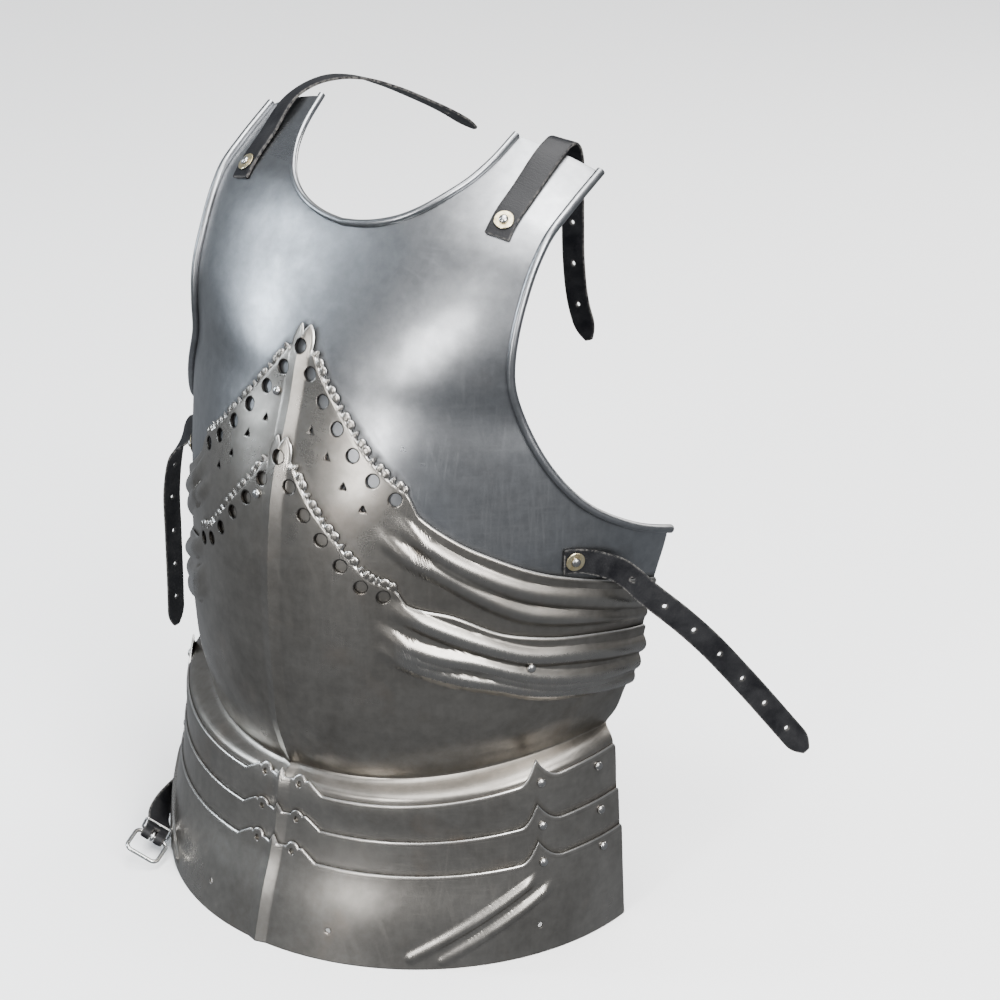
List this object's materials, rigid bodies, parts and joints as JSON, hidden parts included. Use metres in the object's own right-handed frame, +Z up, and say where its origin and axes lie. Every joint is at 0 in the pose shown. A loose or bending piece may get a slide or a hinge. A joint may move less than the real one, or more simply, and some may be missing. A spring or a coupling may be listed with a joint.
{
  "type": "steel cuirass breastplate",
  "caption": "Gothic steel breastplate of a chest plate under two fluted plackarts with pierced borders, over a fauld of overlapping lames, with leather straps and a small buckle.",
  "frame": {"origin": "front centre of the fauld's bottom rim, on the plane that the rim stands on", "axes": "+Z up along the wearer's body, -Y is the front, +X is the wearer's left"},
  "size_m": [0.5561, 0.3457, 0.589],
  "materials": {
    "plate_steel": "satin to polished, worn",
    "fastening_steel": "polished",
    "washer_brass": "worn",
    "strap_leather": "worn, satin"
  },
  "bodies": {
    "root": {"breastplate_main": "plate_steel", "plackart_upper": "plate_steel", "plackart_lower": "plate_steel", "fauld_lame_1": "plate_steel", "fauld_lame_2": "plate_steel", "fauld_lame_3": "plate_steel", "rivet_upper_centre": "fastening_steel", "rivet_lower_centre": "fastening_steel", "rivet_flank_left": "fastening_steel", "rivet_flank_right": "fastening_steel", "rivet_lame_1_right_front": "fastening_steel", "rivet_lame_1_right_back": "fastening_steel", "rivet_lame_1_left_front": "fastening_steel", "rivet_lame_1_left_back": "fastening_steel", "rivet_lame_2_right_front": "fastening_steel", "rivet_lame_2_right_back": "fastening_steel", "rivet_lame_2_left_front": "fastening_steel", "rivet_lame_2_left_back": "fastening_steel", "rivet_lame_3_right_front": "fastening_steel", "rivet_lame_3_right_back": "fastening_steel", "rivet_lame_3_left_front": "fastening_steel", "rivet_lame_3_left_back": "fastening_steel", "shoulder_strap_left": "strap_leather", "washer_shoulder_left": "washer_brass", "rivet_shoulder_left": "fastening_steel", "shoulder_strap_right": "strap_leather", "washer_shoulder_right": "washer_brass", "rivet_shoulder_right": "fastening_steel", "side_strap_left": "strap_leather", "washer_side_left": "washer_brass", "rivet_side_left": "fastening_steel", "side_strap_right": "strap_leather", "washer_side_right": "washer_brass", "rivet_side_right": "fastening_steel", "buckle_strap": "strap_leather", "rivet_buckle": "fastening_steel", "buckle_frame": "fastening_steel", "buckle_keeper": "fastening_steel", "buckle_tongue": "fastening_steel"}
  },
  "joints": []
}
